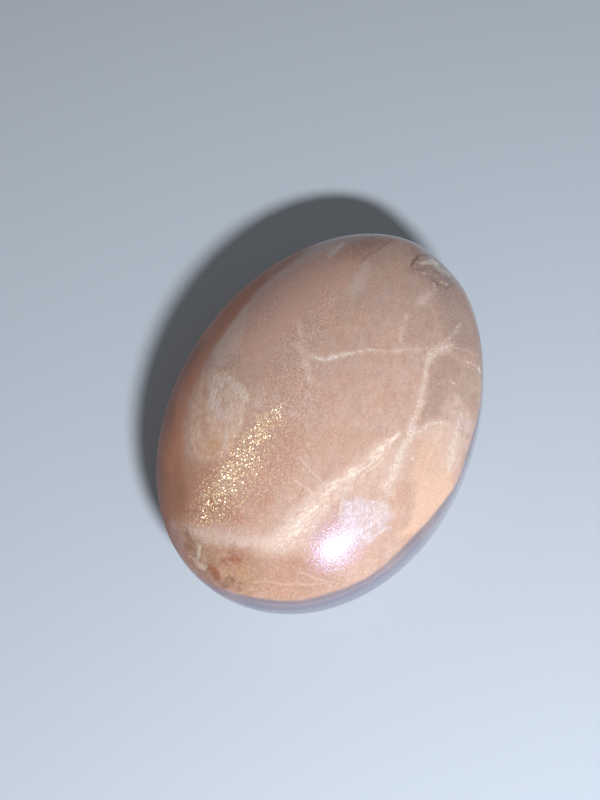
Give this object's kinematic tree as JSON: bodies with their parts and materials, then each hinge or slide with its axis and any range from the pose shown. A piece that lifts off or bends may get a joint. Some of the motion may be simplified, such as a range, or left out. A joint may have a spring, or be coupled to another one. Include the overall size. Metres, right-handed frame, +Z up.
{
  "type": "palm stone",
  "caption": "Smooth oval palm stone of polished peach moonstone, domed above a soft shoulder, resting on a small flat spot.",
  "frame": {"origin": "on the resting surface, under the centre of the stone's oval outline", "axes": "+X along the stone's length, +Y across its width, +Z up through the top of its dome"},
  "size_m": [0.066, 0.048, 0.0252],
  "materials": {
    "peach_moonstone": "tumbled and hand-polished to a glassy gloss"
  },
  "bodies": {
    "root": {"palm_stone": "peach_moonstone"}
  },
  "joints": []
}
